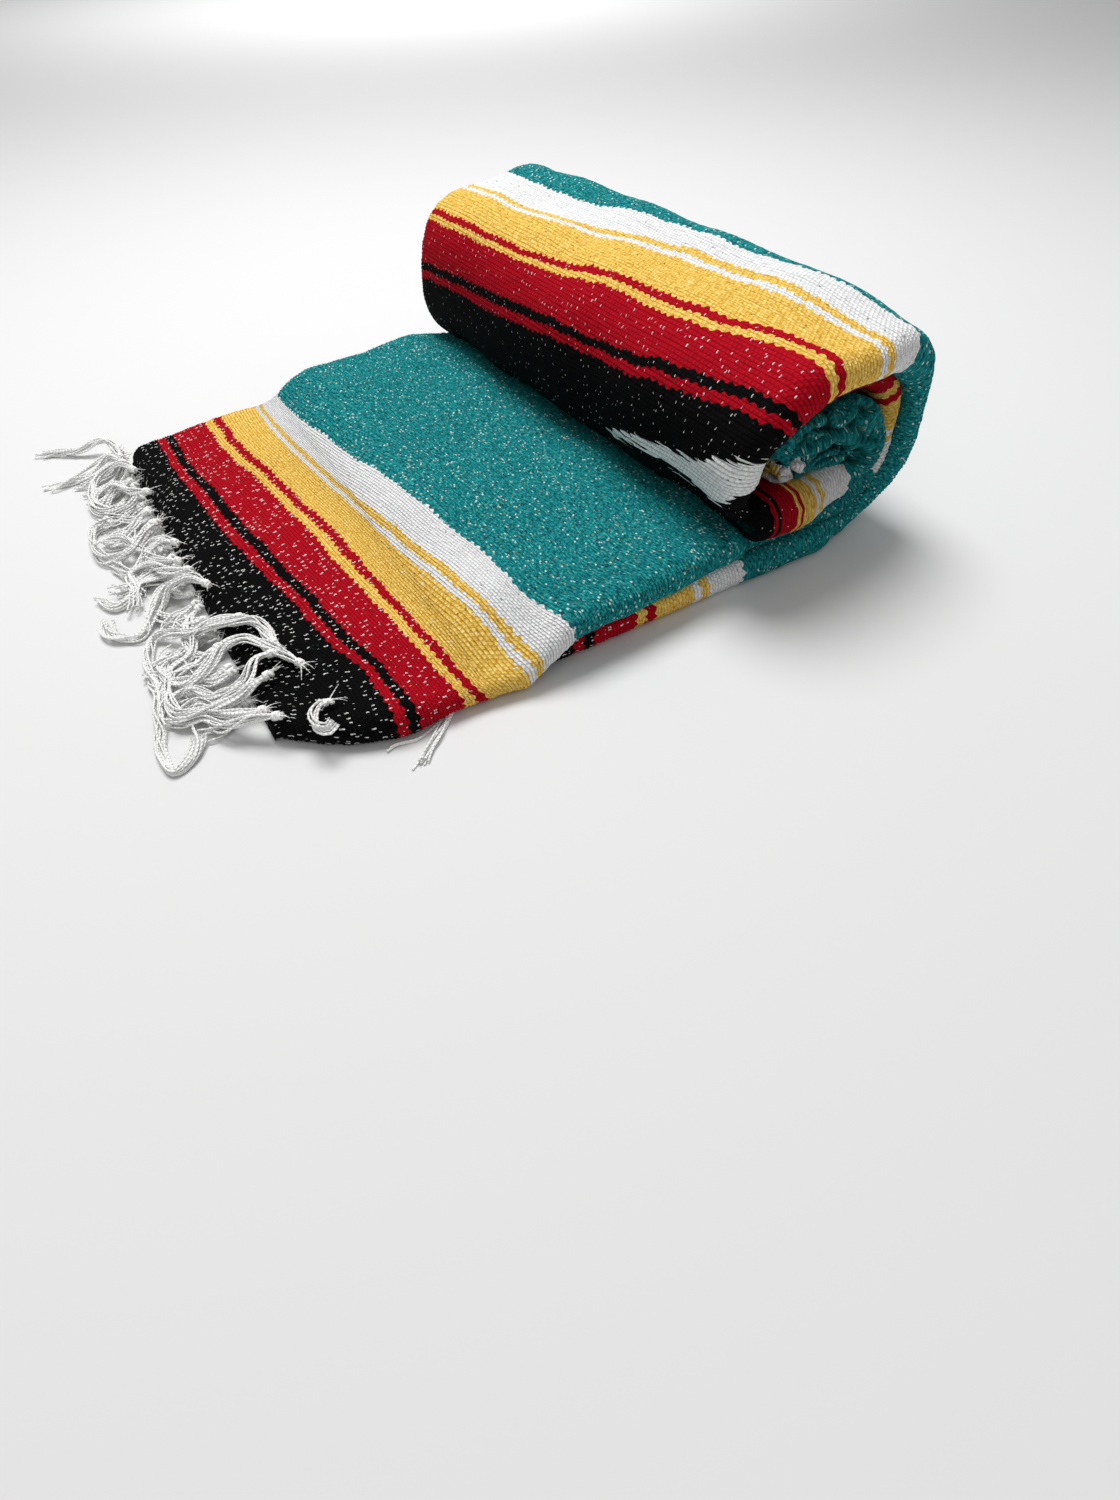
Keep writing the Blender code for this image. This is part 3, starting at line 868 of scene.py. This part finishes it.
def all_shells():
    """Node: (tube of cloth, flat size) for each stretch."""
    upper, lower, outer, inner, second, core = main_paths()
    outer_look = Look(outside=-1, run_step=0.00056, wear=less_worn_in_front)
    inner_look = Look(
        outside=-1, inset=INNER_INSET, step=0.03, round_ends=(False, True), painted_end_shade=0.30, wear=hardly_worn
    )
    second_look = Look(
        outside=-1, inset=SECOND_INSET, step=0.012, round_ends=(True, True), start=-0.012,
        edge_points=25, painted_shade=CREASED, painted_end_shade=0.34, wear=hardly_worn,
    )
    core_look = Look(
        inset=CORE_INSET, step=0.012, round_ends=(True, True),
        edge_points=25, painted_shade=CREASED, painted_end_shade=0.34, wear=hardly_worn,
    )
    stretches = [
        ("upper_flap", upper, upper_stripes, upper_flap_shape, Look()),
        ("lower_flap", lower, lower_stripes, even, Look(step=0.03)),
        ("outer_turn", outer, outer_stripes, outer_shape, outer_look),
        ("inner_turn", inner, by_anchors(INNER_STRIPES), inner_shape, inner_look),
        ("second_turn", second, by_anchors(SECOND_STRIPES), second_shape, second_look),
        ("core", core, by_anchors(CORE_STRIPES), core_shape, core_look),
    ]
    return {node: shell(node, *rest) for node, *rest in stretches}


# ---------------- fringes
THREAD_RADIUS = 0.00056
THREAD_STEP, KNOT_STEP = 0.0021, 0.001  # from one point of a thread or knot to the next
TWIST = 55.0  # radians to the metre that a tassel's threads turn round each other
FRINGE_X, FRINGE_CLEAR = -51.0, -54.0  # X in millimetres where a seeded route starts, and that it keeps past
ROUTE_STEPS = 7
LYING = 1.6  # how high a thread lies, in millimetres
# Routes of the tassels that show, from their knots, in millimetres of the strip's frame (x, y, z)
TASSELS = [
    [(-53, 337, 14), (-62, 381, 10), (-76, 386, 5), (-95, 400, 2), (-108, 404, 2)],
    [(-53, 328, 14), (-61, 355, 9), (-83, 348, 4), (-108, 347, 2)],
    [(-49, 311, 15), (-58, 331, 13), (-71, 333, 9), (-82, 312, 5), (-79, 288, 4), (-64, 280, 8),
     (-52, 284, 11)],
    [(-47, 276, 16), (-57, 288, 13), (-69, 313, 9), (-79, 312, 6), (-77, 291, 5), (-60, 284, 8)],
    [(-50, 240, 15), (-61, 234, 12), (-73, 227, 8), (-87, 232, 4), (-92, 252, 3), (-87, 272, 4),
     (-74, 271, 7)],
    [(-47, 204, 16), (-56, 216, 15), (-66, 215, 11), (-77, 207, 6), (-87, 231, 3)],
    [(-50, 186, 15), (-59, 198, 13), (-69, 223, 9), (-79, 252, 5), (-89, 256, 3)],
    [(-47, 173, 16), (-58, 181, 14), (-69, 203, 9), (-78, 207, 5), (-82, 186, 4), (-93, 181, 3),
     (-101, 196, 2)],
    [(-43, 150, 17), (-53, 166, 16), (-64, 169, 12), (-76, 159, 7), (-89, 146, 3), (-99, 152, 3),
     (-102, 174, 3)],
    [(-35, 110, 18), (-48, 117, 16), (-61, 122, 10), (-69, 110, 6), (-80, 108, 4), (-89, 91, 4)],
    [(-29, 77, 18), (-33, 104, 18), (-47, 111, 17), (-62, 123, 11), (-82, 138, 4), (-90, 119, 3),
     (-91, 93, 3), (-96, 71, 3), (-100, 49, 2), (-97, 34, 2), (-89, 38, 3), (-83, 46, 4),
     (-81, 57, 5)],
    [(-22, 54, 18), (-32, 76, 18), (-42, 93, 18), (-53, 97, 14), (-63, 91, 10), (-77, 87, 7),
     (-84, 99, 5), (-80, 120, 4), (-70, 124, 5)],
    [(-30, 70, 19), (-40, 72, 19), (-52, 61, 16), (-67, 65, 11), (-78, 82, 8), (-88, 81, 5),
     (-91, 64, 4)],
    [(-37, 57, 19), (-45, 56, 18), (-58, 55, 13), (-74, 59, 9), (-85, 66, 7), (-86, 86, 6),
     (-80, 104, 6)],
    [(-47, 36, 16), (-58, 42, 13), (-68, 55, 9), (-76, 70, 7), (-86, 67, 5)],
    [(-43, 27, 17), (-56, 36, 13), (-69, 45, 8), (-76, 58, 6), (-86, 63, 4), (-92, 69, 3)],
]
CURL = [(-19, 21, 18), (-25, 22, 19), (-31, 17, 18), (-32, 10, 17), (-28, 6, 17), (-24, 8, 18)]
LOWER_TASSEL = [(42, 12, 1), (30, 0, 1.5), (17, -12, 1.5), (6, -20, 1.2), (-2, -27, 1)]
STRAY = [(34, 6, 1), (20, -4, 1), (9, -8, 1), (-2, -6, 1), (-9, -8, 1)]


def distance_along(line):
    return np.concatenate([[0], np.cumsum(np.linalg.norm(np.diff(line, axis=0), axis=1))])


def along_curve(route, step):
    """A smooth curve through a route, in metres and in even steps, and each point's distance along it."""
    points = np.array(route, float) / 1000
    chord = distance_along(points)
    fine = np.linspace(0, chord[-1], 400)
    curve = np.stack([table(fine, chord, points[:, k]) for k in range(3)], -1)
    length = distance_along(curve)
    steps = np.linspace(0, length[-1], max(4, round(length[-1] / step)))
    return np.stack([np.interp(steps, length, curve[:, k]) for k in range(3)], -1), steps


def frames(line):
    """The side and upward directions at each point of a line."""
    ahead = np.gradient(line, axis=0)
    ahead /= np.linalg.norm(ahead, axis=1)[:, None] + 1e-12
    side = np.cross(ahead, [0.0, 0.0, 1.0])
    side /= np.linalg.norm(side, axis=1)[:, None] + 1e-9
    return side, np.cross(side, ahead)


def ring_round(angle, side, up):
    """Points at these angles on a unit circle across each pair of directions."""
    return np.cos(angle)[None, :, None] * side[:, None] + np.sin(angle)[None, :, None] * up[:, None]


class Threads:
    """Gathers thread tubes, and makes one mesh of them."""

    def __init__(self):
        self.points, self.faces, self.ply, self.count = [], [], [], 0

    def tube(self, line, radius, sides=5):
        """A closed tube; its radius is one number, or one for each point of its line."""
        side, up = frames(line)
        n = len(line)
        angle = np.arange(sides) * 2 * np.pi / sides
        girth = np.broadcast_to(radius, n)[:, None, None]
        self.points.append((line[:, None] + girth * ring_round(angle, side, up)).reshape(-1, 3))
        ply = np.empty((n, sides, 3))
        ply[..., 0] = distance_along(line)[:, None]
        ply[..., 1] = angle
        ply[..., 2] = random.uniform(0, 1)
        self.ply.append(ply.reshape(-1, 3))
        faces = grid_faces(n, sides)[:, ::-1].tolist()
        last = (n - 1) * sides
        faces += [(0, k, k + 1) for k in range(1, sides - 1)]
        faces += [(last, last + k + 1, last + k) for k in range(1, sides - 1)]
        self.faces += [[self.count + corner for corner in face] for face in faces]
        self.count += n * sides

    def made(self, name, node):
        """The mesh, in place of a CAD node."""
        mesh = bpy.data.meshes.new(name)
        mesh.from_pydata((np.concatenate(self.points) + SHIFT).tolist(), [], self.faces)
        ply = np.concatenate(self.ply).astype(np.float32)
        mesh.attributes.new("ply", "FLOAT_VECTOR", "POINT").data.foreach_set("vector", ply.ravel())
        mesh.shade_smooth()
        mesh.materials.append(THREAD)
        piece = link(name, mesh)
        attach(piece, "root")
        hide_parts(node)
        return piece


def wander(n, size, reach):
    """A smooth random walk of n points, about reach from 0."""
    knots = random.normal(0, reach, max(3, n // size + 2))
    return table(np.arange(n) / size, np.arange(len(knots)), knots)


def add_bundle(threads, route, count, spread, fan=1.0):
    """Threads that run together along a route, in a loose twist; they fan out at its far end."""
    middle, run = along_curve(route, THREAD_STEP)
    n = len(run)
    side, up = frames(middle)
    gathered = 0.30 + 0.70 * smooth(run, 0.002, 0.016)
    width = spread * gathered * (1 + (fan - 1) * smooth(run, run[-1] - 0.02, run[-1]))
    for _ in range(count):
        place = random.uniform(0, 2 * np.pi)
        reach = np.sqrt(random.uniform(0.02, 1.0))
        angle = place + run * TWIST + wander(n, 8, 0.5)
        off_side = width * reach * np.cos(angle) + wander(n, 6, 0.0006)
        off_up = width * reach * np.sin(angle) * 0.75 + wander(n, 6, 0.0004)
        line = middle + off_side[:, None] * side + off_up[:, None] * up
        line[:, 2] = np.maximum(line[:, 2], THREAD_RADIUS * 1.2)
        cut_back = random.integers(0, 6) if fan > 1 else 0
        threads.tube(line[: n - cut_back], THREAD_RADIUS * random.uniform(0.8, 1.15))


def add_knot(threads, route, size=0.0014):
    """A knot of a few tight turns at a route's start, with cut ends that point back."""
    middle, _ = along_curve(route, KNOT_STEP)
    start, ahead = middle[3], middle[8] - middle[1]
    ahead = ahead / np.linalg.norm(ahead)
    side = np.cross(ahead, [0.0, 0.0, 1.0])
    side /= np.linalg.norm(side)
    up = np.cross(side, ahead)
    turn = np.linspace(0, 2 * np.pi, 15)
    for lean, shift in ((0.5, -0.0010), (-0.4, 0.0006), (0.2, 0.0018)):
        loop = start + np.cos(turn)[:, None] * side * size + np.sin(turn)[:, None] * up * size
        loop = loop + (shift + lean * size * np.cos(turn + shift * 900))[:, None] * ahead
        threads.tube(loop, size * 0.72, sides=6)
    t = np.linspace(0, 1, 7)[:, None]
    for _ in range(random.integers(3, 6)):
        reach = random.uniform(0.004, 0.0095)
        spray = random.uniform(-0.75, 0.75)
        lift = random.uniform(0.1, 0.6)
        bend = random.uniform(-0.4, 0.4)
        hair = side * (spray * t + bend * t**2) + up * (lift * t - 0.35 * t**2) - ahead * t
        hair = start + reach * hair
        hair[:, 2] = np.maximum(hair[:, 2], 0.0006)
        threads.tube(hair, np.linspace(0.00050, 0.00016, 7), sides=4)


def random_route(y, height):
    """A route, in millimetres, that leaves the fringe edge, wanders outwards and curls."""
    heading = np.pi + random.uniform(-0.6, 0.6)
    stride = random.uniform(38, 62) / ROUTE_STEPS
    curl = random.normal(0, 0.028)
    x = FRINGE_X
    route = [(x, y, height)]
    for k in range(1, ROUTE_STEPS):
        heading += curl * stride + random.normal(0, 0.25)
        x += np.cos(heading) * stride
        y += np.sin(heading) * stride
        z = LYING + (height - LYING) * np.exp(-k / 1.6) + random.uniform(0, 3)
        route.append((min(x, FRINGE_CLEAR), y, z))
    return route


def upper_fringe():
    """The tassels that show, the curl on the cloth, and seeded ones that fill in behind them."""
    shown = Threads()
    for route in TASSELS:
        add_bundle(shown, route, 11, 0.0029, fan=1.5)
        add_knot(shown, route)
    add_bundle(shown, CURL, 9, 0.0022)
    add_knot(shown, CURL, size=0.0011)
    tassels = shown.made("upper_fringe_tassels", "upper_fringe")
    under = Threads()
    for y in np.linspace(52, 354, 34):
        route = random_route(y + random.uniform(-4, 4), random.uniform(5, 12))
        add_bundle(under, route, 9, 0.0028, fan=1.8)
        add_knot(under, route)
    return [tassels, under.made("upper_fringe_under", "upper_fringe")]


def lower_fringe():
    threads = Threads()
    add_bundle(threads, LOWER_TASSEL, 10, 0.0018, fan=2.4)
    add_bundle(threads, STRAY, 2, 0.0006, fan=2.0)
    return [threads.made("lower_fringe_threads", "lower_fringe")]


# ---------------- floor, light and camera
FLOOR_REACH = 6.0
MIDDLE = (0.0, 0.0, 0.05)
LIGHTS = [  # name, place, what it points at, size, power
    ("key", (0.15, 0.45, 1.6), MIDDLE, 1.0, 26),
    ("floor behind", (1.2, 2.6, 1.1), (1.3, 2.9, 0.0), 2.0, 24),
    ("fill", (-0.9, -1.1, 1.1), MIDDLE, 1.2, 2.0),
]
SKY = 0.36  # strength of the white light from all round
CAMERA_PLACE = (-0.2015, -0.7920, 0.8188)  # from the strip's origin, in strip widths
YAW, PITCH_DOWN, ROLL = 59.83, 47.39, 2.05  # degrees
SENSOR = 36.0
FOCAL_SHARE = 0.556  # focal length, as a share of the picture's longer side


def add_floor():
    mesh = bpy.data.meshes.new("floor")
    ways = [(-1, -1), (1, -1), (1, 1), (-1, 1)]
    mesh.from_pydata([(x * FLOOR_REACH, y * FLOOR_REACH, 0) for x, y in ways], [], [(0, 1, 2, 3)])
    mesh.materials.append(floor_material())
    link("floor", mesh)


def add_sky():
    world = bpy.data.worlds.new("studio")
    world.use_nodes = True
    background = world.node_tree.nodes["Background"]
    background.inputs["Color"].default_value = (1, 1, 1, 1)
    background.inputs["Strength"].default_value = SKY
    bpy.context.scene.world = world


def add_light(name, place, aim, size, power):
    light = bpy.data.lights.new(name, "AREA")
    light.shape = "DISK"
    light.size = size
    light.energy = power
    lamp = link(name, light)
    lamp.location = place
    lamp.rotation_euler = (Vector(aim) - Vector(place)).to_track_quat("-Z", "Y").to_euler()


def add_camera():
    """From the left front, looking down at the strip."""
    place = np.array(CAMERA_PLACE) * WIDTH + SHIFT
    yaw, pitch, roll = np.radians([YAW, PITCH_DOWN, ROLL])
    ahead = np.array([np.cos(pitch) * np.cos(yaw), np.cos(pitch) * np.sin(yaw), -np.sin(pitch)])
    right = np.cross(ahead, [0, 0, 1])
    right /= np.linalg.norm(right)
    down = np.cross(ahead, right)
    right, down = np.cos(roll) * right + np.sin(roll) * down, -np.sin(roll) * right + np.cos(roll) * down
    data = bpy.data.cameras.new("camera")
    data.sensor_width = SENSOR
    data.lens = FOCAL_SHARE * SENSOR
    data.clip_start = 0.01
    camera = link("camera", data)
    turn = Matrix((right, -down, -ahead)).transposed().to_4x4()
    camera.matrix_world = Matrix.Translation(Vector(place)) @ turn
    bpy.context.scene.camera = camera


shells = all_shells()
fringes = {"upper_flap": upper_fringe(), "lower_flap": lower_fringe()}
add_floor()
add_sky()
for light in LIGHTS:
    add_light(*light)
add_camera()
bpy.context.scene.view_settings.view_transform = "Standard"
